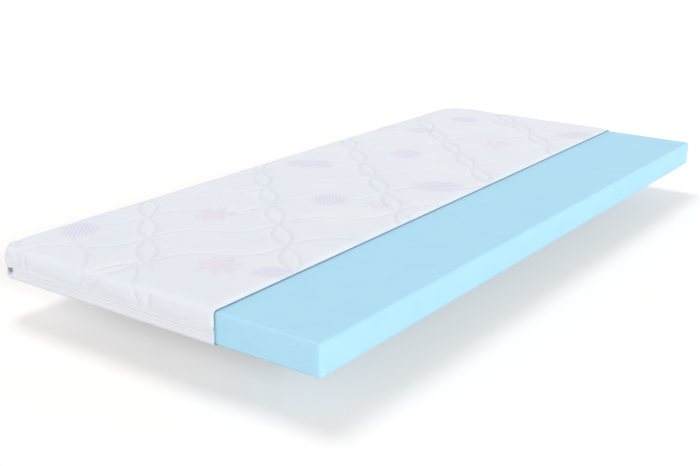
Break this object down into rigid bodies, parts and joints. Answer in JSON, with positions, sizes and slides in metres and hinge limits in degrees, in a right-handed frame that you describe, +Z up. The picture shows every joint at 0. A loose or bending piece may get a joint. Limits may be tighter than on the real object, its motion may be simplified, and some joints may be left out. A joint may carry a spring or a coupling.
{
  "type": "pressure relief mattress",
  "caption": "Thin soft foam mattress in a zipped, quilted knit cover, shown cut open lengthways so that the foam core shows and slides out of the sleeve.",
  "frame": {"origin": "middle of the whole footprint, on the surface that the mattress lies on", "axes": "+X across the width, towards the open, cut side where the foam shows; +Y along the length, away from the end with the zip's slider; +Z up"},
  "size_m": [0.9, 2, 0.08],
  "materials": {
    "foam": "matte",
    "quilted_knit": "matte",
    "lower_knit": "matte",
    "wadding": "matte",
    "backing": "matte",
    "zip_tape": "matte",
    "zip_coil": "satin",
    "thread": "satin",
    "slider_metal": "satin",
    "pull_tape": "matte"
  },
  "bodies": {
    "lower_cover": {"lower_fabric": "lower_knit", "lower_zip_tape": "zip_tape", "lower_zip_coil": "zip_coil", "lower_end_stops": "zip_coil", "lower_stitching": "thread"},
    "foam": {"foam_core": "foam"},
    "upper_cover": {"upper_fabric": "quilted_knit", "upper_wadding": "wadding", "upper_backing": "backing", "upper_zip_tape": "zip_tape", "upper_zip_coil": "zip_coil", "upper_end_stops": "zip_coil", "upper_stitching": "thread"},
    "zip_slider": {"slider_body": "slider_metal"},
    "zip_link": {"pull_link": "slider_metal"},
    "zip_pull": {"pull_tab": "pull_tape"}
  },
  "joints": [
    {"name": "foam_slide", "type": "slide", "parent": "lower_cover", "child": "foam", "axis": [1, 0, 0], "range_m": [0, 0.66]},
    {"name": "upper_cover_lift", "type": "slide", "parent": "lower_cover", "child": "upper_cover", "axis": [0, 0, 1], "range_m": [0, 0.09]},
    {"name": "zip_run", "type": "slide", "parent": "lower_cover", "child": "zip_slider", "axis": [1, 0, 0], "range_m": [0, 0.58]},
    {"name": "pull_swivel", "type": "hinge", "parent": "zip_slider", "child": "zip_link", "pos_m": [-0.4105, -0.9983, 0.025], "axis": [0, 1, 0], "range_deg": [-80, 80]},
    {"name": "pull_flip", "type": "hinge", "parent": "zip_link", "child": "zip_pull", "pos_m": [-0.4105, -0.9983, 0.0155], "axis": [-1, 0, 0], "range_deg": [0, 100]}
  ]
}
